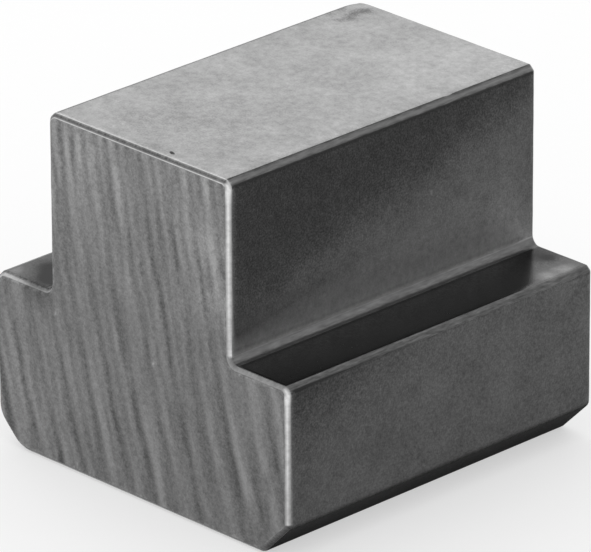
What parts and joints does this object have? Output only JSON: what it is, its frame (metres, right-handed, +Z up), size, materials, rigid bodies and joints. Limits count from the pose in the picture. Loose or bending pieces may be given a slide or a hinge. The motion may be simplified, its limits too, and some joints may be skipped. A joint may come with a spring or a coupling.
{
  "type": "t-slot nut blank",
  "caption": "Blank steel nut for T-slots: a sawn length of T bar with a tongue, clamping shoulders and chamfered lower edges, ready to be drilled and tapped.",
  "frame": {"origin": "middle of the underside, where the blank stands on a surface", "axes": "+X across the T, +Y along the slot, +Z up to the top of the tongue"},
  "size_m": [0.035, 0.036, 0.032],
  "materials": {
    "bare_steel": "milled and tempered flanks, sawn ends, bare grey top"
  },
  "bodies": {
    "root": {"t_slot_nut": "bare_steel"}
  },
  "joints": []
}
